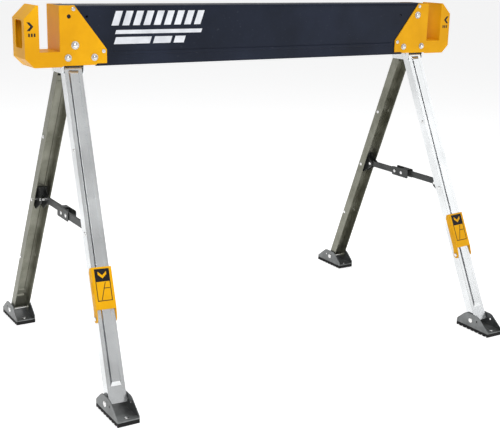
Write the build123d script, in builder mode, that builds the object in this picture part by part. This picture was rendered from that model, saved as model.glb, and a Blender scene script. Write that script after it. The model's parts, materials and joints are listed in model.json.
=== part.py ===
# Folding sawhorse: steel beam, two end brackets and two folding A-frames.
import os
from math import atan2, cos, hypot, sin, tan

from build123d import *

os.makedirs("parts", exist_ok=True)

# ---- driving dimensions, mm ----
total_height = 813.0
overall_length = 1168.0
bracket_width = 76.0
bracket_sheet = 2.5
bracket_height = 129.0
slot_start = 32.0
slot_width = 44.5
slot_depth = 96.5
handle_width = 44.0
handle_height = 58.0
handle_top = 31.0

beam_sheet = 1.3
bead_height = 8.0
bead_rise = 2.0
bead_drop = 102.5
bead_end_gap = 10.0
leg_notch_length = 78.0
leg_notch_rise = 2.6

leg_width = 40.0
leg_sheet = 1.6
leg_out = 10.0
leg_in = 13.0
leg_top = 8.0
leg_bottom = 3.8
rib_width = 23.0
rib_rise = 3.0
rib_draft = 2.5
liner_sheet = 1.2
hinge_drop = 2.0
hinge_half_gap = 17.0
foot_reach = 310.0
foot_pin_height = 27.0
foot_pin_x = 507.0
leg_tilt_out = 31.0
rivet_heights = (512.0, 349.0)

left_pivot_drop = 83.4
right_pivot_drop = 29.5
pivot_diameter = 10.0
pin_diameter = 8.0
rivet_diameter = 5.0
running_clearance = 0.05
yoke_sheet = 2.5
yoke_side_gap = 2.0
yoke_lip = 14.0
yoke_crown = 8.0
yoke_face_drop = 15.0

brace_height = 355.0
brace_reach = 137.0
brace_pin_diameter = 6.0
link_height = 16.0
link_sheet = 5.0
link_gap = 2.0
ear_sheet = 2.0
ear_gap = 8.0
sleeve_sheet = 2.0
sleeve_height = 24.0
sleeve_back = 40.0
sleeve_front = 26.0

foot_inner = 260.0
foot_outer = 372.0
foot_side_gap = 2.5
foot_sheet = 2.0
pad_thickness = 9.0
foot_plate = 2.5
foot_arch = 44.0
tread_depth = 4.0
tread_pitch = 14.0

peg_pin_height = 185.0
peg_pin_out = 4.0
peg_start = 17.0
peg_length = 89.0
peg_sheet = 2.0
peg_gap = 0.5
peg_ear = 9.0
peg_tab = 1.2
peg_tab_length = 24.0

# ---- worked-out values ----
half_length = overall_length / 2
half_width = bracket_width / 2
plate_inner = half_width - bracket_sheet
beam_inner = plate_inner - beam_sheet
bottom_z = total_height - bracket_height
beam_end = half_length - slot_start - slot_width - bracket_sheet
hinge_z = bottom_z - hinge_drop
hinge_x = foot_pin_x - leg_tilt_out
frame_drop = hypot(leg_tilt_out, hinge_z - foot_pin_height)
tilt = atan2(leg_tilt_out, hinge_z - foot_pin_height)
spread = atan2(foot_reach - hinge_half_gap, frame_drop)
leg_length = hypot(foot_reach - hinge_half_gap, frame_drop)
brace_up = (brace_height - hinge_z) / cos(tilt)
brace_out = (brace_reach - hinge_half_gap) * cos(spread) + brace_up * sin(spread)
brace_drop = (brace_reach - hinge_half_gap) * sin(spread) - brace_up * cos(spread)
leg_half = leg_width / 2
foot_width = leg_width + 2 * (foot_side_gap + foot_sheet)
yoke_inner = leg_half + yoke_side_gap
pivot_drops = {"left": left_pivot_drop, "right": right_pivot_drop}
bolt_spots = [(94.0, 109.5), (154.0, 110.0)]
rivet_spots = [(108.0, 7.6), (175.3, 97.3)]
spare_hole = (98.0, 23.0)


def keep(shape, name):
    """Label a finished piece and write its STEP file."""
    shape.label = name
    export_step(shape, f"parts/{name}.step")


def sign(name):
    return -1 if name in ("left", "front") else 1


def axis(end):
    """Direction of the leg hinges at one end."""
    return Vector(cos(tilt), 0, sign(end) * sin(tilt))


def frame_plane(end, across=0.0):
    """Plane square to the leg hinges: local x is +Y, local y is up the A-frame."""
    middle = Vector(sign(end) * hinge_x, 0, hinge_z)
    return Plane(origin=middle + axis(end) * across, x_dir=(0, 1, 0), z_dir=axis(end))


def leg_side(end, side, across=0.0):
    """Plane square to one leg's hinge: local x points out of the A-frame, local y up the leg."""
    s = sign(side)
    base = frame_plane(end, across * s)
    out = Vector(0, s * cos(spread), 0) + base.y_dir * sin(spread)
    origin = base.origin + Vector(0, s * hinge_half_gap, 0)
    return Plane(origin=origin, x_dir=out, z_dir=axis(end) * s)


def leg_section(end, side, drop):
    """Cross-section plane of a leg, drop mm down it: local y points out of the A-frame."""
    base = leg_side(end, side)
    return Plane(origin=base.origin - base.y_dir * drop, x_dir=base.z_dir, z_dir=base.y_dir)


def leg_face(end, side, out, drop):
    """Plane on the leg's web: local x across the leg, local y up the leg."""
    base = leg_side(end, side)
    origin = base.origin + base.x_dir * out - base.y_dir * drop
    return Plane(origin=origin, x_dir=-base.z_dir, z_dir=base.x_dir)


def leg_spot(end, side, out, drop, across=0.0, turn=1):
    """Plane for a fastener along the hinge direction; turn=-1 faces it the other way."""
    base = leg_side(end, side)
    origin = base.from_local_coords((out, -drop, across))
    return Plane(origin=origin, x_dir=base.x_dir, z_dir=base.z_dir * turn)


def drop_at(height):
    """Distance down a leg's centre line at a height above the floor."""
    return (hinge_z - height) / cos(tilt) / cos(spread)


def rod(plane, radius, length):
    """A round bar centred on a plane."""
    with BuildPart() as bar:
        with BuildSketch(plane):
            Circle(radius)
        extrude(amount=length / 2, both=True)
    return bar.part


def stud(plane, radius, depth, head_radius, head_height):
    """A domed rivet: its head stands on the plane and its shank goes down through it."""
    with BuildPart() as rivet:
        with BuildSketch(plane):
            Circle(head_radius)
        extrude(amount=head_height)
        fillet(rivet.edges().sort_by(Axis(plane.origin, plane.z_dir))[-1], 0.7 * head_height)
        with BuildSketch(plane):
            Circle(radius)
        extrude(amount=-depth)
    return rivet.part


def panel(plane, width, length, rise, draft):
    """A raised panel with drawn-in sides."""
    with BuildPart() as raised:
        with BuildSketch(plane):
            Rectangle(width, length)
        with BuildSketch(plane.offset(rise)):
            Rectangle(width - 2 * draft, length - 6 * draft)
        loft()
    return raised.part


def wall_plane(end, side, spot, out):
    """Plane on a bracket's front or rear face at a spot given from its outer top corner."""
    s = sign(side)
    origin = (sign(end) * (half_length - spot[0]), s * out, total_height - spot[1])
    return Plane(origin=origin, x_dir=(1, 0, 0), z_dir=(0, s, 0))


def bracket_outline(end, points):
    return [(sign(end) * (half_length - d), total_height - t) for d, t in points]


def pivot_spot(end):
    """The pivot bolt lies on the A-frame's centre line, above the leg hinges."""
    up = hinge_z + pivot_drops[end] - total_height
    return half_length - (hinge_x + up * tan(tilt)), pivot_drops[end]


def wall_holes(end, gap):
    """Cutters for every fastener through the walls of one bracket."""
    with BuildPart() as cutters:
        for spot, diameter in (
            [(pivot_spot(end), pivot_diameter)]
            + [(spot, pin_diameter) for spot in bolt_spots]
            + [(spot, rivet_diameter) for spot in rivet_spots]
        ):
            add(rod(wall_plane(end, "rear", spot, 0), diameter / 2 + gap, 2 * bracket_width))
    return cutters.part


# ---- beam ----
with BuildPart() as beam:
    with BuildSketch(Plane.YZ.offset(-beam_end)):
        with Locations((0, total_height - bracket_height / 2)):
            RectangleRounded(2 * plate_inner, bracket_height, 6.0)
        with Locations((0, bottom_z + bracket_height / 4)):
            Rectangle(2 * plate_inner, bracket_height / 2)
        with Locations((0, total_height - beam_sheet - bracket_height / 2)):
            RectangleRounded(2 * beam_inner, bracket_height, 4.5, mode=Mode.SUBTRACT)
        with Locations((0, bottom_z)):
            Rectangle(2 * beam_inner, bracket_height, mode=Mode.SUBTRACT)
    extrude(amount=2 * beam_end)
    with BuildSketch(Plane.XZ):
        for s in (-1, 1):
            with Locations((s * (beam_end - leg_notch_length / 2), bottom_z)):
                Rectangle(leg_notch_length, 2 * leg_notch_rise)
    extrude(amount=bracket_width, both=True, mode=Mode.SUBTRACT)
    for s in (-1, 1):
        bead_plane = Plane(
            origin=(0, s * plate_inner, total_height - bead_drop), x_dir=(0, 0, 1), z_dir=(0, s, 0)
        )
        bead_run = 2 * (half_length - 183.0 - bead_end_gap)
        add(panel(bead_plane, bead_height, bead_run, bead_rise, 1.5))
        hollow = bead_plane.offset(-beam_sheet - 0.5)
        add(panel(hollow, bead_height - 2.0, bead_run - 2.0, bead_rise + 0.5, 1.0), mode=Mode.SUBTRACT)
    for end in ("left", "right"):
        add(wall_holes(end, running_clearance), mode=Mode.SUBTRACT)
    for spot in (("left", (139.0, 24.0)), ("right", (167.0, 29.0))):
        add(rod(wall_plane(spot[0], "front", spot[1], plate_inner), 2.8, 4 * beam_sheet), mode=Mode.SUBTRACT)
keep(beam.part, "beam_shell")


# ---- end brackets, slot liners and their fasteners ----
plate_outline = [
    (27.5, 0), (0, 27.4), (0, 109.5), (19.6, 129), (80, 129), (84, 126.5), (157, 126.5), (161, 123.5),
    (183, 123.5), (183, 93.5), (110.5, 0),
]
cavity_outline = [
    (28.5, 2.5), (2.5, 28.4), (2.5, 108.5), (20.6, 126.5), (slot_start, 126.5), (slot_start, 140),
    (200, 140), (200, -5), (slot_start, -5), (slot_start, 2.5),
]
for end in ("left", "right"):
    s = sign(end)
    slot_middle = s * (half_length - slot_start - slot_width / 2)
    with BuildPart() as bracket:
        with BuildSketch(Plane.XZ):
            Polygon(*bracket_outline(end, plate_outline), align=None)
        extrude(amount=half_width, both=True)
        with BuildSketch(Plane.XZ):
            Polygon(*bracket_outline(end, cavity_outline), align=None)
        extrude(amount=plate_inner, both=True, mode=Mode.SUBTRACT)
        with BuildSketch(Plane.XZ):
            with Locations((slot_middle, total_height)):
                Rectangle(slot_width, 2 * slot_depth)
        extrude(amount=bracket_width, both=True, mode=Mode.SUBTRACT)
        with BuildSketch(Plane.YZ.offset(s * half_length)):
            with Locations((0, total_height - handle_top - handle_height / 2)):
                RectangleRounded(handle_width, handle_height, 8.0)
        extrude(amount=4 * bracket_sheet, both=True, mode=Mode.SUBTRACT)
        add(wall_holes(end, running_clearance), mode=Mode.SUBTRACT)
        if end == "left":
            spare = wall_plane(end, "front", spare_hole, half_width)
            add(rod(spare, 4.5, 3 * bracket_sheet), mode=Mode.SUBTRACT)
    keep(bracket.part, f"{end}_end_bracket")

    sheet = bracket_sheet
    liner_outline = [
        (slot_start + slot_width, 0), (slot_start + slot_width, slot_depth), (slot_start, slot_depth),
        (slot_start, sheet), (slot_start - sheet, sheet), (slot_start - sheet, slot_depth + sheet),
        (slot_start + slot_width + sheet, slot_depth + sheet), (slot_start + slot_width + sheet, 0),
    ]
    with BuildPart() as liner:
        with BuildSketch(Plane.XZ):
            Polygon(*bracket_outline(end, liner_outline), align=None)
        extrude(amount=plate_inner, both=True)
    keep(liner.part, f"{end}_slot_liner")

    with BuildPart() as rivets:
        for side in ("front", "rear"):
            for spot in rivet_spots:
                face = wall_plane(end, side, spot, half_width)
                add(stud(face, rivet_diameter / 2, half_width - beam_inner, 4.5, 2.0))
    keep(rivets.part, f"{end}_bracket_rivets")

    with BuildPart() as bolts:
        for side in ("front", "rear"):
            for spot in bolt_spots:
                face = wall_plane(end, side, spot, half_width)
                add(stud(face, pin_diameter / 2, half_width - beam_inner, 8.0, 4.5))
    keep(bolts.part, f"{end}_bracket_bolts")

    with BuildPart() as bolt:
        add(stud(wall_plane(end, "front", pivot_spot(end), half_width), pivot_diameter / 2,
                 bracket_width + 10.0, 9.0, 6.0))
    keep(bolt.part, f"{end}_pivot_bolt")

    with BuildPart() as nut:
        with BuildSketch(wall_plane(end, "rear", pivot_spot(end), half_width)):
            RegularPolygon(9.5, 6)
            Circle(pivot_diameter / 2 + running_clearance, mode=Mode.SUBTRACT)
        extrude(amount=8.0)
    keep(nut.part, f"{end}_pivot_nut")


# ---- yokes ----
for end in ("left", "right"):
    pivot_up = (hinge_z + pivot_drops[end] - total_height) / -cos(tilt)
    with BuildPart() as yoke:
        for side in (-1, 1):
            with BuildSketch(frame_plane(end, side * (yoke_inner + yoke_sheet / 2))):
                with Locations((0, (pivot_up + yoke_crown - yoke_lip) / 2)):
                    RectangleRounded(66.0, pivot_up + yoke_crown + yoke_lip, 6.0)
            extrude(amount=yoke_sheet / 2, both=True)
            face = Plane(origin=frame_plane(end).from_local_coords((side * 31.5, pivot_up, 0)),
                         x_dir=axis(end), z_dir=(0, side, 0))
            up_sign = 1 if face.y_dir.Z > 0 else -1
            with BuildSketch(face):
                with Locations((0, up_sign * (yoke_crown - 1.0 - yoke_face_drop) / 2)):
                    Rectangle(2 * yoke_inner + yoke_sheet, yoke_face_drop + yoke_crown - 1.0)
            extrude(amount=-yoke_sheet)
        add(rod(wall_plane(end, "rear", pivot_spot(end), 0), pivot_diameter / 2 + running_clearance, 90.0),
            mode=Mode.SUBTRACT)
        for side in ("front", "rear"):
            add(rod(leg_side(end, side), pin_diameter / 2 + running_clearance, 60.0), mode=Mode.SUBTRACT)
    keep(yoke.part, f"{end}_leg_yoke")

    with BuildPart() as pins:
        for side in ("front", "rear"):
            base = leg_side(end, side, yoke_inner + yoke_sheet)
            add(stud(base, pin_diameter / 2, 2 * (yoke_inner + yoke_sheet), 5.5, 1.0))
    keep(pins.part, f"{end}_yoke_pins")


# ---- legs ----
def section(start, drop, stop, sheet, half, out, inner):
    """A channel of folded sheet between two distances down a leg."""
    with BuildPart() as channel:
        with BuildSketch(leg_section(*start, stop)):
            with Locations((0, (out - inner) / 2)):
                Rectangle(2 * half, out + inner)
            with Locations((0, (out - inner) / 2 - sheet)):
                Rectangle(2 * (half - sheet), out + inner, mode=Mode.SUBTRACT)
        extrude(amount=stop - drop)
    return channel.part


def foot_pin_plane(end, side):
    s = sign(side)
    origin = (sign(end) * foot_pin_x, s * foot_reach, foot_pin_height)
    return Plane(origin=origin, x_dir=(0, s, 0), z_dir=(s, 0, 0))


liner_half = leg_half - leg_sheet - running_clearance
liner_out = leg_out - leg_sheet
liner_start, liner_stop = 30.0, 675.0
groove_depth = 1.4
ear_reach = 8.0
small_hole = brace_pin_diameter / 2 + running_clearance
for end in ("left", "right"):
    for side in ("front", "rear"):
        name = f"{end}_{side}"
        here = (end, side)
        wall_spots = [
            (0, drop_at(rivet_heights[0])), (0, drop_at(rivet_heights[1])), (peg_pin_out, drop_at(peg_pin_height)),
        ]
        rib_run = leg_length - 45.0
        with BuildPart() as channel:
            add(section(here, -leg_top, leg_length + leg_bottom, leg_sheet, leg_half, leg_out, leg_in))
            rib_face = leg_face(end, side, leg_out, 12.0 + rib_run / 2)
            add(panel(rib_face, rib_width, rib_run, rib_rise, rib_draft))
            hollow = rib_face.offset(-leg_sheet - 0.5)
            add(panel(hollow, rib_width - 2.0, rib_run - 4.0, rib_rise + 0.5, rib_draft), mode=Mode.SUBTRACT)
            add(rod(leg_side(end, side), pin_diameter / 2 + running_clearance, 60.0), mode=Mode.SUBTRACT)
            add(rod(foot_pin_plane(end, side), pin_diameter / 2 + running_clearance, 60.0), mode=Mode.SUBTRACT)
            for out, drop in wall_spots:
                add(rod(leg_spot(end, side, out, drop), small_hole, 60.0), mode=Mode.SUBTRACT)
        keep(channel.part, f"{name}_leg_channel")

        with BuildPart() as doubler:
            add(section(here, liner_start, liner_stop, liner_sheet, liner_half, liner_out, leg_in - 3.0))
            groove = leg_face(end, side, liner_out, (liner_start + liner_stop) / 2)
            groove_run = liner_stop - liner_start - 20.0
            add(panel(groove, rib_width - 4.0, groove_run, groove_depth, rib_draft / 2))
            add(panel(groove.offset(-liner_sheet - 0.5), rib_width - 6.0, groove_run - 4.0, groove_depth + 0.5,
                      rib_draft / 2), mode=Mode.SUBTRACT)
            for out, drop in wall_spots:
                add(rod(leg_spot(end, side, out, drop), small_hole, 60.0), mode=Mode.SUBTRACT)
        keep(doubler.part, f"{name}_leg_liner")

        with BuildPart() as ears:
            for ear in (-1, 1):
                with BuildSketch(leg_side(end, side, ear * (ear_gap + ear_sheet / 2))):
                    Polygon(
                        (liner_out - liner_sheet, -brace_drop + 14), (liner_out - liner_sheet, -brace_drop - 40),
                        (-8, -brace_drop - 40), (brace_out - ear_reach, -brace_drop - 6),
                        (brace_out - ear_reach, -brace_drop + 7), align=None,
                    )
                extrude(amount=ear_sheet / 2, both=True)
            with BuildSketch(leg_face(end, side, liner_out - liner_sheet, brace_drop + 13)):
                Rectangle(32.0, 54.0)
            extrude(amount=-ear_sheet)
            for out, drop in ((brace_out, brace_drop), wall_spots[1]):
                add(rod(leg_spot(end, side, out, drop), small_hole, 60.0), mode=Mode.SUBTRACT)
        keep(ears.part, f"{name}_brace_bracket")

        with BuildPart() as fasteners:
            pairs = wall_spots[:1] if side == "front" else wall_spots[::2]
            for turn in (1, -1):
                for out, drop in pairs:
                    head = leg_spot(end, side, out, drop, turn * leg_half, turn)
                    add(stud(head, brace_pin_diameter / 2, leg_sheet + liner_sheet, 4.5, 1.8))
                head = leg_spot(end, side, *wall_spots[1], turn * leg_half, turn)
                add(stud(head, brace_pin_diameter / 2, leg_half, 4.5, 1.8))
                head = leg_spot(end, side, brace_out, brace_drop, turn * (ear_gap + ear_sheet), turn)
                add(stud(head, brace_pin_diameter / 2, ear_gap + ear_sheet, 4.5, 1.8))
        keep(fasteners.part, f"{name}_leg_fasteners")


# ---- folding braces ----
for end in ("left", "right"):
    carrier = "front" if end == "left" else "rear"
    for side in ("front", "rear"):
        s = sign(side)
        across = (-1 if side == carrier else 1) * (link_gap + link_sheet / 2)
        with BuildPart() as link:
            with BuildSketch(frame_plane(end, across)):
                with Locations((s * brace_reach / 2, brace_up)):
                    SlotCenterToCenter(brace_reach, link_height)
                with Locations((s * brace_reach, brace_up)):
                    Circle(brace_pin_diameter / 2 + running_clearance, mode=Mode.SUBTRACT)
                if side == carrier:
                    with Locations((0, brace_up), (s * 28.0, brace_up)):
                        Circle(brace_pin_diameter / 2 + running_clearance, mode=Mode.SUBTRACT)
            extrude(amount=link_sheet / 2, both=True)
        keep(link.part, f"{end}_{side}_brace_link")

    s = sign(carrier)
    outer = link_gap + link_sheet + sleeve_sheet
    with BuildPart() as sleeve:
        for low, high in ((-outer, sleeve_sheet - outer), (outer, outer + sleeve_sheet)):
            with BuildSketch(frame_plane(end, (low + high) / 2)):
                with Locations((s * (sleeve_back - sleeve_front) / 2, brace_up)):
                    RectangleRounded(sleeve_back + sleeve_front, sleeve_height, 4.0)
            extrude(amount=sleeve_sheet / 2, both=True)
        with BuildSketch(frame_plane(end, -outer)):
            with Locations((-s * 10.0, brace_up + sleeve_height / 2 - 1.0)):
                Rectangle(22.0, 2.0)
        extrude(amount=2 * outer + sleeve_sheet)
        with BuildSketch(frame_plane(end, -outer + sleeve_sheet / 2)):
            with Locations((0, brace_up), (s * 28.0, brace_up)):
                Circle(brace_pin_diameter / 2 + running_clearance)
        extrude(amount=sleeve_sheet, both=True, mode=Mode.SUBTRACT)
    keep(sleeve.part, f"{end}_brace_sleeve")

    with BuildPart() as rivets:
        for reach in (0, s * 28.0):
            base = frame_plane(end, -outer)
            middle = base.from_local_coords((reach, brace_up, 0))
            spot = Plane(origin=middle, x_dir=base.x_dir, z_dir=-base.z_dir)
            add(stud(spot, brace_pin_diameter / 2, outer - link_gap, 4.5, 1.8))
    keep(rivets.part, f"{end}_brace_rivets")


# ---- feet ----
for end in ("left", "right"):
    for side in ("front", "rear"):
        name = f"{end}_{side}"
        s = sign(side)
        x = sign(end) * foot_pin_x
        plate_top = pad_thickness + foot_plate
        plane = Plane(origin=(x, 0, 0), x_dir=(0, s, 0), z_dir=(s, 0, 0))
        cheek_half = (foot_width - foot_sheet) / 2
        with BuildPart() as shoe:
            for cheek in (-1, 1):
                with BuildSketch(plane.offset(cheek * cheek_half)):
                    Polygon(
                        (foot_inner, pad_thickness), (foot_outer, pad_thickness), (foot_outer, 15.0),
                        (foot_outer - 28, 36.0), (foot_outer - 36, foot_arch - 2), (foot_outer - 44, foot_arch),
                        (foot_inner + 34, foot_arch), (foot_inner + 26, foot_arch - 4), (foot_inner + 2, 20.0),
                        (foot_inner, 16.0), align=None,
                    )
                    with Locations((foot_reach, foot_pin_height)):
                        Circle(pin_diameter / 2 + running_clearance, mode=Mode.SUBTRACT)
                    with Locations((foot_reach + 21.0, foot_pin_height + 2.0)):
                        Circle(2.5, mode=Mode.SUBTRACT)
                extrude(amount=foot_sheet / 2, both=True)
            with BuildSketch(Plane.XY.offset(pad_thickness)):
                with Locations((x, s * (foot_inner + foot_outer) / 2)):
                    Rectangle(foot_width - 2 * foot_sheet, foot_outer - foot_inner)
                with Locations((x, s * (foot_inner + 12)), (x, s * (foot_outer - 12))):
                    Circle(rivet_diameter / 2 + running_clearance, mode=Mode.SUBTRACT)
            extrude(amount=foot_plate)
        keep(shoe.part, f"{name}_foot_shoe")

        with BuildPart() as pad:
            with BuildSketch(plane):
                with Locations(((foot_inner + foot_outer) / 2, pad_thickness / 2)):
                    Rectangle(foot_outer - foot_inner, pad_thickness)
                with Locations(*[(foot_inner + tread_pitch * (k + 0.5), 0) for k in range(8)]):
                    Rectangle(5.0, 2 * tread_depth, mode=Mode.SUBTRACT)
            extrude(amount=foot_width / 2, both=True)
            with BuildSketch(Plane.XY.offset(pad_thickness)):
                with Locations((x, s * (foot_inner + 12)), (x, s * (foot_outer - 12))):
                    Circle(rivet_diameter / 2 + running_clearance)
            extrude(amount=-3.0, mode=Mode.SUBTRACT)
        keep(pad.part, f"{name}_foot_pad")

        with BuildPart() as fasteners:
            pin = Plane(origin=(x, s * foot_reach, foot_pin_height), x_dir=(0, 1, 0), z_dir=(1, 0, 0))
            add(stud(pin.offset(foot_width / 2), pin_diameter / 2, foot_width, 6.5, 2.5))
            back = Plane(origin=pin.origin - pin.z_dir * foot_width / 2, x_dir=(0, 1, 0), z_dir=(-1, 0, 0))
            add(stud(back, pin_diameter / 2, 2.0, 6.5, 2.5))
            for reach in (foot_inner + 12, foot_outer - 12):
                spot = Plane.XY.offset(plate_top).move(Location((x, s * reach, 0)))
                add(stud(spot, rivet_diameter / 2, foot_plate + 2.5, 4.5, 1.8))
        keep(fasteners.part, f"{name}_foot_fasteners")


# ---- support pegs on the front legs ----
peg_face = leg_out + rib_rise + 0.3
peg_half = leg_half + peg_gap
for end in ("left", "right"):
    peg_drop = drop_at(peg_pin_height)
    with BuildPart() as peg:
        for ear in (-1, 1):
            with BuildSketch(leg_side(end, "front", ear * (peg_half + peg_sheet / 2))):
                with Locations((peg_pin_out, -peg_drop)):
                    Circle(peg_ear)
                Polygon(
                    (peg_face + peg_sheet, -peg_drop + peg_start), (peg_pin_out + peg_ear, -peg_drop),
                    (peg_pin_out - peg_ear, -peg_drop), (0, -peg_drop + peg_start),
                    (0, -peg_drop + peg_start + peg_length - 8), (5, -peg_drop + peg_start + peg_length),
                    (peg_face + peg_sheet, -peg_drop + peg_start + peg_length), align=None,
                )
                with Locations((peg_pin_out, -peg_drop)):
                    Circle(brace_pin_diameter / 2 + running_clearance, mode=Mode.SUBTRACT)
            extrude(amount=peg_sheet / 2, both=True)
            with BuildSketch(leg_side(end, "front", ear * (peg_half + peg_sheet + peg_tab / 2))):
                with Locations((peg_face - 5.0, -peg_drop + peg_start + 0.52 * peg_length)):
                    Rectangle(7.0, peg_tab_length)
            extrude(amount=peg_tab / 2, both=True)
        with BuildSketch(leg_face(end, "front", peg_face, peg_drop - peg_start - peg_length / 2)):
            Rectangle(2 * peg_half, peg_length)
        extrude(amount=peg_sheet)
    keep(peg.part, f"{end}_support_peg")

    with BuildPart() as pin:
        reach = peg_half + peg_sheet + 0.3
        for turn in (1, -1):
            spot = leg_spot(end, "front", peg_pin_out, peg_drop, turn * reach, turn)
            add(stud(spot, brace_pin_diameter / 2, reach, 4.5, 2.0))
    keep(pin.part, f"{end}_peg_pin")
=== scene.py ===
import json
import bpy
import bmesh
from math import radians, cos, sin, pi
from mathutils import Matrix, Vector


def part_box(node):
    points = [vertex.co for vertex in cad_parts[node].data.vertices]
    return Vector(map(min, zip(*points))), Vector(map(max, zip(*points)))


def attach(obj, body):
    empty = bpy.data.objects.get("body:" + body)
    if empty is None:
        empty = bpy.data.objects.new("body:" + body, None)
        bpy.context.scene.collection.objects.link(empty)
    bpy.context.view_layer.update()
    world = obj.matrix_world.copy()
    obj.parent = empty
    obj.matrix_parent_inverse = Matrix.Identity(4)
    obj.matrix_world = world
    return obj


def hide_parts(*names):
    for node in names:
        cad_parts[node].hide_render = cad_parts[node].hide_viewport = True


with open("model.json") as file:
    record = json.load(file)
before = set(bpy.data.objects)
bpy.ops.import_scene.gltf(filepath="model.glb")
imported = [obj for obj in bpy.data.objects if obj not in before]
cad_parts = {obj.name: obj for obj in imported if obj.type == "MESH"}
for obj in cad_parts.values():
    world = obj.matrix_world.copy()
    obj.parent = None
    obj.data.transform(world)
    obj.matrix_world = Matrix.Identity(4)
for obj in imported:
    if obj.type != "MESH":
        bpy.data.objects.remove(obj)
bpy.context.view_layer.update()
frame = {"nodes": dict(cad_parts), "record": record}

print("frame loaded:", len(frame["nodes"]), "parts")


def addSocket(group, name, kind, isInput, value=None):
    side = "INPUT" if isInput else "OUTPUT"
    sock = group.interface.new_socket(name=name, in_out=side, socket_type=kind)
    if value is not None:
        sock.default_value = value


def makeGrainGroup():
    # fine speckle plus broad cloudy change, both over the surface
    group = bpy.data.node_groups.new("sheetGrain", "ShaderNodeTree")
    addSocket(group, "Vector", "NodeSocketVector", True)
    addSocket(group, "Fine Scale", "NodeSocketFloat", True, 400.0)
    addSocket(group, "Cloud Scale", "NodeSocketFloat", True, 12.0)
    addSocket(group, "Fine", "NodeSocketFloat", False)
    addSocket(group, "Cloud", "NodeSocketFloat", False)
    nodes, links = group.nodes, group.links
    inputs = nodes.new("NodeGroupInput")
    outputs = nodes.new("NodeGroupOutput")
    for scaleName, outName, detail in (("Fine Scale", "Fine", 3.0), ("Cloud Scale", "Cloud", 5.0)):
        noise = nodes.new("ShaderNodeTexNoise")
        noise.inputs["Detail"].default_value = detail
        links.new(inputs.outputs["Vector"], noise.inputs["Vector"])
        links.new(inputs.outputs[scaleName], noise.inputs["Scale"])
        links.new(noise.outputs["Fac"], outputs.inputs[outName])
    return group


scuffLook = dict(stretch=(30.0, 260.0, 45.0), turn=(0.3, 0.2, 0.5), detail=2.0, clearTo=0.66, fullFrom=0.74)


def makeScuffGroup():
    # sparse fine scratches, as handling leaves on plated and painted sheet
    group = bpy.data.node_groups.new("handlingScuffs", "ShaderNodeTree")
    addSocket(group, "Vector", "NodeSocketVector", True)
    addSocket(group, "Density", "NodeSocketFloat", True, 0.5)
    addSocket(group, "Mask", "NodeSocketFloat", False)
    nodes, links = group.nodes, group.links
    inputs = nodes.new("NodeGroupInput")
    outputs = nodes.new("NodeGroupOutput")
    stretch = nodes.new("ShaderNodeMapping")
    stretch.inputs["Scale"].default_value = scuffLook["stretch"]
    stretch.inputs["Rotation"].default_value = scuffLook["turn"]
    links.new(inputs.outputs["Vector"], stretch.inputs["Vector"])
    noise = nodes.new("ShaderNodeTexNoise")
    noise.inputs["Detail"].default_value = scuffLook["detail"]
    links.new(stretch.outputs["Vector"], noise.inputs["Vector"])
    ramp = nodes.new("ShaderNodeValToRGB")
    ramp.color_ramp.elements[0].position = scuffLook["clearTo"]
    ramp.color_ramp.elements[1].position = scuffLook["fullFrom"]
    links.new(noise.outputs["Fac"], ramp.inputs["Fac"])
    times = nodes.new("ShaderNodeMath")
    times.operation = "MULTIPLY"
    links.new(ramp.outputs["Color"], times.inputs[0])
    links.new(inputs.outputs["Density"], times.inputs[1])
    links.new(times.outputs["Value"], outputs.inputs["Mask"])
    return group


grainGroup = makeGrainGroup()
scuffGroup = makeScuffGroup()

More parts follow.
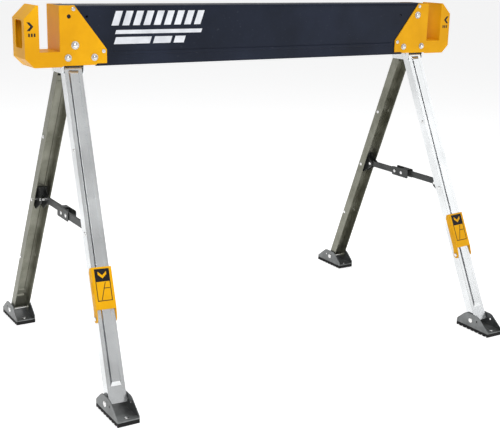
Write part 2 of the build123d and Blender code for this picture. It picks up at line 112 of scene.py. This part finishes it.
# tint and scratch colours, how the surface takes light, then the size and depth of its grain
finishes = {
    "yellowPowder": dict(
        dark=(0.70, 0.325, 0.001), light=(0.86, 0.43, 0.002), scuff=(0.9, 0.55, 0.06),
        metallic=0.0, rough=(0.36, 0.48), specular=0.16,
        fine=650.0, cloud=9.0, bump=0.10, density=0.12),
    "navyPaint": dict(
        dark=(0.006, 0.009, 0.018), light=(0.011, 0.016, 0.032), scuff=(0.06, 0.065, 0.08),
        metallic=0.0, rough=(0.30, 0.42), specular=0.2,
        fine=700.0, cloud=7.0, bump=0.08, density=0.25),
    "zincSheet": dict(
        dark=(0.66, 0.675, 0.68), light=(0.84, 0.86, 0.87), scuff=(0.78, 0.78, 0.77),
        metallic=0.92, rough=(0.17, 0.27), specular=0.5,
        fine=260.0, cloud=11.0, bump=0.05, density=0.2),
    # rear legs and leg liners: the leg zinc painted darker and olive, painted shade and dark reflection for
    # inner faces turned away from the lamps
    "shadedLegZinc": dict(
        dark=(0.16, 0.16, 0.125), light=(0.29, 0.29, 0.24), scuff=(0.45, 0.45, 0.4),
        metallic=0.85, rough=(0.30, 0.46), specular=0.5,
        fine=260.0, cloud=16.0, bump=0.06, density=0.3),
    "footZinc": dict(
        dark=(0.13, 0.135, 0.135), light=(0.24, 0.25, 0.25), scuff=(0.5, 0.5, 0.5),
        metallic=0.75, rough=(0.34, 0.5), specular=0.5,
        fine=300.0, cloud=26.0, bump=0.08, density=0.5),
    "darkSteel": dict(
        dark=(0.035, 0.037, 0.037), light=(0.075, 0.078, 0.076), scuff=(0.2, 0.2, 0.2),
        metallic=0.6, rough=(0.34, 0.5), specular=0.5,
        fine=380.0, cloud=20.0, bump=0.08, density=0.4),
    "brightZinc": dict(
        dark=(0.62, 0.62, 0.62), light=(0.82, 0.82, 0.81), scuff=(0.9, 0.9, 0.9),
        metallic=1.0, rough=(0.12, 0.24), specular=0.5,
        fine=500.0, cloud=60.0, bump=0.02, density=0.2),
    "blackRubber": dict(
        dark=(0.006, 0.006, 0.006), light=(0.016, 0.016, 0.016), scuff=(0.05, 0.05, 0.048),
        metallic=0.0, rough=(0.62, 0.8), specular=0.2,
        fine=900.0, cloud=30.0, bump=0.25, density=0.3),
    "whitePrint": dict(
        dark=(0.62, 0.64, 0.68), light=(0.78, 0.8, 0.84), scuff=(0.5, 0.52, 0.56),
        metallic=0.0, rough=(0.4, 0.5), specular=0.5,
        fine=500.0, cloud=25.0, bump=0.03, density=0.3),
    "blackPrint": dict(
        dark=(0.007, 0.007, 0.009), light=(0.014, 0.014, 0.017), scuff=(0.06, 0.06, 0.06),
        metallic=0.0, rough=(0.38, 0.5), specular=0.2,
        fine=500.0, cloud=25.0, bump=0.03, density=0.3),
}
finishRange = dict(tint=(0.36, 0.64), rough=(0.35, 0.65), bumpDepth=0.0006)    # spans of the noise; metres


def makeFinish(name, look):
    mat = bpy.data.materials.new(name)
    mat.use_nodes = True
    nodes, links = mat.node_tree.nodes, mat.node_tree.links
    shader = nodes["Principled BSDF"]
    shader.inputs["Metallic"].default_value = look["metallic"]
    shader.inputs["Specular IOR Level"].default_value = look["specular"]
    coords = nodes.new("ShaderNodeTexCoord")
    grain = nodes.new("ShaderNodeGroup")
    grain.node_tree = grainGroup
    grain.inputs["Fine Scale"].default_value = look["fine"]
    grain.inputs["Cloud Scale"].default_value = look["cloud"]
    scuff = nodes.new("ShaderNodeGroup")
    scuff.node_tree = scuffGroup
    scuff.inputs["Density"].default_value = look["density"]
    links.new(coords.outputs["Object"], grain.inputs["Vector"])
    links.new(coords.outputs["Object"], scuff.inputs["Vector"])
    tint = nodes.new("ShaderNodeValToRGB")
    tint.color_ramp.elements[0].position = finishRange["tint"][0]
    tint.color_ramp.elements[1].position = finishRange["tint"][1]
    tint.color_ramp.elements[0].color = (*look["dark"], 1.0)
    tint.color_ramp.elements[1].color = (*look["light"], 1.0)
    links.new(grain.outputs["Cloud"], tint.inputs["Fac"])
    blend = nodes.new("ShaderNodeMix")
    blend.data_type = "RGBA"
    links.new(scuff.outputs["Mask"], blend.inputs[0])
    links.new(tint.outputs["Color"], blend.inputs[6])
    blend.inputs[7].default_value = (*look["scuff"], 1.0)
    links.new(blend.outputs[2], shader.inputs["Base Color"])
    rough = nodes.new("ShaderNodeMapRange")
    rough.inputs["From Min"].default_value = finishRange["rough"][0]
    rough.inputs["From Max"].default_value = finishRange["rough"][1]
    rough.inputs["To Min"].default_value = look["rough"][0]
    rough.inputs["To Max"].default_value = look["rough"][1]
    links.new(grain.outputs["Cloud"], rough.inputs["Value"])
    links.new(rough.outputs["Result"], shader.inputs["Roughness"])
    bump = nodes.new("ShaderNodeBump")
    bump.inputs["Strength"].default_value = look["bump"]
    bump.inputs["Distance"].default_value = finishRange["bumpDepth"]
    links.new(grain.outputs["Fine"], bump.inputs["Height"])
    links.new(bump.outputs["Normal"], shader.inputs["Normal"])
    return mat


materials = {name: makeFinish(name, look) for name, look in finishes.items()}
print("finishes made:", len(materials))

# the first word found in a part's name picks its finish
partFinish = [
    ("foot_pad", "blackRubber"), ("beam_shell", "navyPaint"), ("end_bracket", "yellowPowder"),
    ("slot_liner", "yellowPowder"), ("support_peg", "yellowPowder"), ("pivot_nut", "brightZinc"),
    ("bolt", "brightZinc"), ("rivets", "brightZinc"), ("pins", "brightZinc"), ("fasteners", "brightZinc"),
    ("peg_pin", "brightZinc"), ("brace_link", "darkSteel"), ("brace_sleeve", "darkSteel"),
    # rear legs and liners take the darker zinc with painted shade
    ("brace_bracket", "darkSteel"), ("rear_leg", "shadedLegZinc"), ("leg_liner", "shadedLegZinc"),
    ("leg_channel", "zincSheet"), ("leg_yoke", "zincSheet"), ("foot_shoe", "footZinc"),
]
# bevel widths on folded sheet and rubber, in metres
edgeRound = {
    "end_bracket": 0.0006, "beam_shell": 0.0004, "support_peg": 0.0005, "foot_shoe": 0.0005,
    "leg_channel": 0.0004, "leg_yoke": 0.0005, "brace_link": 0.0006, "brace_sleeve": 0.0005,
    "slot_liner": 0.0005, "foot_pad": 0.0006,
}
sheetClean = dict(weld=0.00002, sliver=0.00001, flat=0.6, smooth=20, bevel=28, segments=2)    # metres, degrees


def finishOf(nodeName):
    for word, finish in partFinish:
        if word in nodeName:
            return materials[finish]
    return materials["zincSheet"]


def placeMesh(mesh, name, body, finish):
    data = bpy.data.meshes.new(name)
    mesh.to_mesh(data)
    mesh.free()
    obj = bpy.data.objects.new(name, data)
    bpy.context.scene.collection.objects.link(obj)
    data.materials.append(finish)
    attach(obj, body)
    return obj


bodies = frame["record"]["behaviour"]["bodies"]
bodyOf = {node: body for body, names in bodies.items() for node in names}

for nodeName, cadNode in frame["nodes"].items():
    finish = finishOf(nodeName)
    width = next((w for word, w in edgeRound.items() if word in nodeName), None)
    if width is None:
        cadNode.data.materials.clear()
        cadNode.data.materials.append(finish)
        continue
    mesh = bmesh.new()
    mesh.from_mesh(cadNode.data)
    bmesh.ops.remove_doubles(mesh, verts=mesh.verts, dist=sheetClean["weld"])
    bmesh.ops.dissolve_degenerate(mesh, edges=mesh.edges, dist=sheetClean["sliver"])
    bmesh.ops.dissolve_limit(mesh, angle_limit=radians(sheetClean["flat"]), verts=mesh.verts,
                             edges=mesh.edges)
    for face in mesh.faces:
        face.smooth = True
        face.material_index = 0
    for edge in mesh.edges:
        edge.smooth = (len(edge.link_faces) == 2
                       and edge.calc_face_angle(0.0) < radians(sheetClean["smooth"]))
    piece = placeMesh(mesh, nodeName + "_sheet", bodyOf[nodeName], finish)
    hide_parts(nodeName)
    bevel = piece.modifiers.new("edgeRound", "BEVEL")
    bevel.width = width
    bevel.segments = sheetClean["segments"]
    bevel.limit_method = "ANGLE"
    bevel.angle_limit = radians(sheetClean["bevel"])
    bevel.use_clamp_overlap = False
    bevel.harden_normals = True
print("parts finished")

sheetFace = {"beamFront": -0.0355, "bracketFront": -0.038, "printThick": 0.0002}
chevron = dict(slope=0.9, shift=0.2)


def addSlab(mesh, turn, middle, size, lean=0.0):
    # a thin printed patch: size across, size up, leaned like an italic bar
    made = bmesh.ops.create_cube(mesh, size=1.0)["verts"]
    bmesh.ops.scale(mesh, vec=(size[0], sheetFace["printThick"], size[1]), verts=made)
    for vert in made:
        vert.co.x += vert.co.z * lean
    bmesh.ops.transform(mesh, matrix=turn @ Matrix.Translation(Vector(middle)), verts=made)


def addChevron(mesh, turn, middle, size, thick, down=False):
    # two leaning bars that meet in a point
    for side in (-1, 1):
        made = bmesh.ops.create_cube(mesh, size=1.0)["verts"]
        bmesh.ops.scale(mesh, vec=(thick, sheetFace["printThick"], size / 2), verts=made)
        for vert in made:
            vert.co.z += side * size / 4
            vert.co.x += -side * vert.co.z * chevron["slope"] + chevron["shift"] * size
        spin = Matrix.Rotation(radians(90), 4, "Y") if down else Matrix.Identity(4)
        bmesh.ops.transform(mesh, matrix=turn @ Matrix.Translation(Vector(middle)) @ spin, verts=made)


beamPrint = dict(left=-0.385, lean=0.35,
                 bars=9, barPitch=0.0252, barStart=0.4, barWide=0.0165, barHigh=0.031, barMiddle=0.785,
                 stripeIn=0.006, stripeLong=0.212, stripeHigh=0.0085, stripeMiddle=0.7555,
                 tailIn=0.004, tailLong=0.086, tailHigh=0.015, tailMiddle=0.737,
                 tailShares=(1.0, 0.5, 0.3), tailStarts=(0.0, 0.094, 0.145))
mesh = bmesh.new()
flat = Matrix.Identity(4)
face = sheetFace["beamFront"] - sheetFace["printThick"] / 2
for k in range(beamPrint["bars"]):
    x = beamPrint["left"] + beamPrint["barPitch"] * (k + beamPrint["barStart"])
    addSlab(mesh, flat, (x, face, beamPrint["barMiddle"]),
            (beamPrint["barWide"], beamPrint["barHigh"]), beamPrint["lean"])
x = beamPrint["left"] + beamPrint["stripeIn"] + beamPrint["stripeLong"] / 2
addSlab(mesh, flat, (x, face, beamPrint["stripeMiddle"]),
        (beamPrint["stripeLong"], beamPrint["stripeHigh"]), beamPrint["lean"])
for share, begin in zip(beamPrint["tailShares"], beamPrint["tailStarts"]):
    long = beamPrint["tailLong"] * share
    x = beamPrint["left"] + beamPrint["tailIn"] + begin + long / 2
    addSlab(mesh, flat, (x, face, beamPrint["tailMiddle"]), (long, beamPrint["tailHigh"]), beamPrint["lean"])
bmesh.ops.recalc_face_normals(mesh, faces=mesh.faces)
placeMesh(mesh, "beamPrint", "beam", materials["whitePrint"])

bracketPrint = dict(middle=(0.568, 0.770), size=0.018, thick=0.0065, inset=-0.003,
                    ticks=3, tickPitch=0.006, tickSize=(0.0035, 0.007), barMiddle=0.7525)
mesh = bmesh.new()
face = sheetFace["bracketFront"] - sheetFace["printThick"] / 2
for end in (-1, 1):
    x = end * bracketPrint["middle"][0]
    turn = Matrix.Translation((x, face, bracketPrint["middle"][1]))
    if end > 0:
        turn = turn @ Matrix.Rotation(pi, 4, "Y")    # the right one points left, at the slot
    addChevron(mesh, turn, (bracketPrint["inset"], 0, 0), bracketPrint["size"], bracketPrint["thick"])
    for k in range(bracketPrint["ticks"]):
        tickX = x - bracketPrint["tickPitch"] + bracketPrint["tickPitch"] * k
        addSlab(mesh, flat, (tickX, face, bracketPrint["barMiddle"]), bracketPrint["tickSize"])
bmesh.ops.recalc_face_normals(mesh, faces=mesh.faces)
placeMesh(mesh, "bracketPrint", "beam", materials["blackPrint"])
print("beam prints made")

capBolt = dict(flange=0.0078, flangeHigh=0.0013, hex=0.0066, hexHigh=0.0028, taper=0.97,
               dome=0.0052, domeHigh=0.0042, domeShare=0.85, domeSink=0.7, smallFace=0.000012,
               spots=((0.490, 0.7035), (0.430, 0.703)), plate=0.038,
               pivotBig=1.14, shank=0.005, shankLong=0.086, shankMiddle=0.005)


def addCapBolt(mesh, spot, outward, big=1.0):
    # washer, hexagon and domed end, standing on the plate
    facing = Vector((0, 0, 1)).rotation_difference(Vector(outward)).to_matrix().to_4x4()
    parts = []
    for sides, wide, start, depth in ((32, capBolt["flange"], 0.0, capBolt["flangeHigh"]),
                                      (6, capBolt["hex"], capBolt["flangeHigh"], capBolt["hexHigh"])):
        made = bmesh.ops.create_cone(mesh, cap_ends=True, segments=sides, radius1=wide * big,
                                     radius2=wide * big * capBolt["taper"], depth=depth)["verts"]
        bmesh.ops.translate(mesh, vec=(0, 0, start + depth / 2), verts=made)
        parts += made
    made = bmesh.ops.create_uvsphere(mesh, u_segments=24, v_segments=12,
                                     radius=capBolt["dome"] * big)["verts"]
    squash = capBolt["domeHigh"] / (capBolt["dome"] * big)
    bmesh.ops.scale(mesh, vec=(1, 1, squash * capBolt["domeShare"]), verts=made)
    rise = capBolt["flangeHigh"] + capBolt["hexHigh"] * capBolt["domeSink"]
    bmesh.ops.translate(mesh, vec=(0, 0, rise), verts=made)
    parts += made
    bmesh.ops.transform(mesh, matrix=Matrix.Translation(Vector(spot)) @ facing, verts=parts)


def smoothCaps(mesh):
    # smooth shading on the small rounded faces only
    bmesh.ops.recalc_face_normals(mesh, faces=mesh.faces)
    for part in mesh.faces:
        part.smooth = len(part.verts) <= 4 and part.calc_area() < capBolt["smallFace"]


for end, sideX in (("left", -1), ("right", 1)):
    mesh = bmesh.new()
    for x, z in capBolt["spots"]:
        for sideY in (-1, 1):
            addCapBolt(mesh, (sideX * x, sideY * capBolt["plate"], z), (0, sideY, 0))
    smoothCaps(mesh)
    caps = placeMesh(mesh, end + "CapBolts", "beam", materials["brightZinc"])
    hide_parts(end + "_bracket_bolts")
    low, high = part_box(end + "_pivot_bolt")
    mesh = bmesh.new()
    middle = ((low[0] + high[0]) / 2, -capBolt["plate"], (low[2] + high[2]) / 2)
    addCapBolt(mesh, middle, (0, -1, 0), capBolt["pivotBig"])
    made = bmesh.ops.create_cone(mesh, cap_ends=True, segments=32, radius1=capBolt["shank"],
                                 radius2=capBolt["shank"], depth=capBolt["shankLong"])["verts"]
    shankPlace = Matrix.Translation((middle[0], capBolt["shankMiddle"], middle[2]))
    bmesh.ops.transform(mesh, matrix=shankPlace @ Matrix.Rotation(pi / 2, 4, "X"), verts=made)
    smoothCaps(mesh)
    caps = placeMesh(mesh, end + "PivotCap", "beam", materials["brightZinc"])
    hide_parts(end + "_pivot_bolt")
print("cap bolts made")

frontLeg = dict(tilt=0.047293, spread=0.42029, hinge=(0.476, -0.017, 0.682))    # radians, then metres


def legMatrix(sideX, drop, out):
    # place on a front leg's web: x across, z up the leg, -y outwards
    tilt, spread = frontLeg["tilt"], frontLeg["spread"]
    hingeX, hingeY, hingeZ = frontLeg["hinge"]
    across = Vector((cos(tilt), 0, sideX * sin(tilt)))
    rise = Vector((-sideX * sin(tilt), 0, cos(tilt)))
    outward = Vector((0, -cos(spread), 0)) + rise * sin(spread)
    upLeg = rise * cos(spread) + Vector((0, sin(spread), 0))
    start = Vector((sideX * hingeX, hingeY, hingeZ)) + outward * out - upLeg * drop
    place = Matrix((across, -outward, upLeg)).transposed().to_4x4()
    place.translation = start
    return place


pegPrint = dict(drop=0.4834, out=0.01535, wide=0.033, panelUp=0.027, panelHigh=0.027, frameHigh=0.040,
                line=0.0016, post=-0.001, postShare=0.92, postLean=0.32,
                shelf=0.0065, shelfUp=0.006, shelfLong=0.014,
                arrow=0.019, arrowThick=0.0065, arrowLift=0.0002)
for end, sideX in (("left", -1), ("right", 1)):
    turn = legMatrix(sideX, pegPrint["drop"], pegPrint["out"])
    black = bmesh.new()
    top = pegPrint["panelUp"]
    addSlab(black, turn, (0, 0, top), (pegPrint["wide"], pegPrint["panelHigh"]))
    low = top - pegPrint["panelHigh"] / 2 - pegPrint["frameHigh"]
    middle = low + pegPrint["frameHigh"] / 2
    for x in (-1, 1):
        addSlab(black, turn, (x * (pegPrint["wide"] - pegPrint["line"]) / 2, 0, middle),
                (pegPrint["line"], pegPrint["frameHigh"]))
    addSlab(black, turn, (0, 0, low), (pegPrint["wide"], pegPrint["line"]))
    addSlab(black, turn, (pegPrint["post"], 0, middle),
            (pegPrint["line"], pegPrint["frameHigh"] * pegPrint["postShare"]), pegPrint["postLean"])
    addSlab(black, turn, (pegPrint["shelf"], 0, middle + pegPrint["shelfUp"]),
            (pegPrint["shelfLong"], pegPrint["line"]))
    bmesh.ops.recalc_face_normals(black, faces=black.faces)
    placeMesh(black, end + "PegPrint", end + "_peg", materials["blackPrint"])
    arrow = bmesh.new()
    lift = Matrix.Translation((0, -pegPrint["arrowLift"], 0))
    addChevron(arrow, turn @ lift, (0, 0, top), pegPrint["arrow"], pegPrint["arrowThick"], True)
    bmesh.ops.recalc_face_normals(arrow, faces=arrow.faces)
    placeMesh(arrow, end + "PegArrow", end + "_peg", materials["yellowPowder"])
print("peg prints made")

cameraView = dict(lens=69.8, sensor=36.0, place=(-1.2407, -2.0112, 0.922), pan=-31.6, pitch=75.1, roll=1.4)
camera = bpy.data.objects.new("camera", bpy.data.cameras.new("camera"))
bpy.context.scene.collection.objects.link(camera)
camera.data.lens = cameraView["lens"]
camera.data.sensor_width = cameraView["sensor"]
camera.matrix_world = (Matrix.Translation(cameraView["place"])
                       @ Matrix.Rotation(radians(cameraView["pan"]), 4, "Z")
                       @ Matrix.Rotation(radians(cameraView["pitch"]), 4, "X")
                       @ Matrix.Rotation(radians(cameraView["roll"]), 4, "Z"))
bpy.context.scene.camera = camera

floorLook = dict(half=30.0, grey=(0.93, 0.93, 0.93, 1), rough=0.9, glow=0.5)
mesh = bmesh.new()
bmesh.ops.create_grid(mesh, x_segments=1, y_segments=1, size=floorLook["half"])
floorData = bpy.data.meshes.new("floor")
mesh.to_mesh(floorData)
mesh.free()
floor = bpy.data.objects.new("floor", floorData)
bpy.context.scene.collection.objects.link(floor)
paleFloor = bpy.data.materials.new("paleFloor")
paleFloor.use_nodes = True
floorShader = paleFloor.node_tree.nodes["Principled BSDF"]
floorShader.inputs["Base Color"].default_value = floorLook["grey"]
floorShader.inputs["Roughness"].default_value = floorLook["rough"]
floorShader.inputs["Specular IOR Level"].default_value = 0.0
floorShader.inputs["Emission Color"].default_value = (1, 1, 1, 1)
floorShader.inputs["Emission Strength"].default_value = floorLook["glow"]
floorData.materials.append(paleFloor)

# bright in front and above, dark screens at the two sides, and plain white where the camera looks
studioWorld = dict(bright=(1, 1, 1, 1), screen=(0.05, 0.055, 0.07, 1), brightTo=0.42, screenFrom=0.72,
                   strength=0.62, seenStrength=1.0)
world = bpy.data.worlds.new("studio")
world.use_nodes = True
nodes, links = world.node_tree.nodes, world.node_tree.links
coords = nodes.new("ShaderNodeTexCoord")
split = nodes.new("ShaderNodeSeparateXYZ")
links.new(coords.outputs["Generated"], split.inputs["Vector"])
side = nodes.new("ShaderNodeMath")
side.operation = "ABSOLUTE"
links.new(split.outputs["X"], side.inputs[0])
shade = nodes.new("ShaderNodeValToRGB")
shade.color_ramp.elements[0].position = studioWorld["brightTo"]
shade.color_ramp.elements[0].color = studioWorld["bright"]
shade.color_ramp.elements[1].position = studioWorld["screenFrom"]
shade.color_ramp.elements[1].color = studioWorld["screen"]
links.new(side.outputs["Value"], shade.inputs["Fac"])
links.new(shade.outputs["Color"], nodes["Background"].inputs["Color"])
nodes["Background"].inputs["Strength"].default_value = studioWorld["strength"]
seen = nodes.new("ShaderNodeBackground")
seen.inputs["Color"].default_value = studioWorld["bright"]
seen.inputs["Strength"].default_value = studioWorld["seenStrength"]
ray = nodes.new("ShaderNodeLightPath")
pick = nodes.new("ShaderNodeMixShader")
links.new(ray.outputs["Is Camera Ray"], pick.inputs["Fac"])
links.new(nodes["Background"].outputs["Background"], pick.inputs[1])
links.new(seen.outputs["Background"], pick.inputs[2])
links.new(pick.outputs["Shader"], nodes["World Output"].inputs["Surface"])
bpy.context.scene.world = world
bpy.context.scene.view_settings.view_transform = "Standard"

studioLights = {
    "key": dict(place=(-1.6, -2.4, 2.6), aim=(0, 0, 0.5), size=1.6, power=46),
    "fill": dict(place=(2.6, -1.8, 1.6), aim=(0, 0, 0.4), size=1.8, power=12),
    "top": dict(place=(0.0, 0.6, 3.2), aim=(0, 0, 0.4), size=2.0, power=28),
}
for name, light in studioLights.items():
    lamp = bpy.data.objects.new(name, bpy.data.lights.new(name, "AREA"))
    bpy.context.scene.collection.objects.link(lamp)
    lamp.data.size = light["size"]
    lamp.data.energy = light["power"]
    lamp.location = light["place"]
    lamp.rotation_euler = (Vector(light["aim"]) - Vector(light["place"])).to_track_quat("-Z", "Y").to_euler()
print("stage ready")
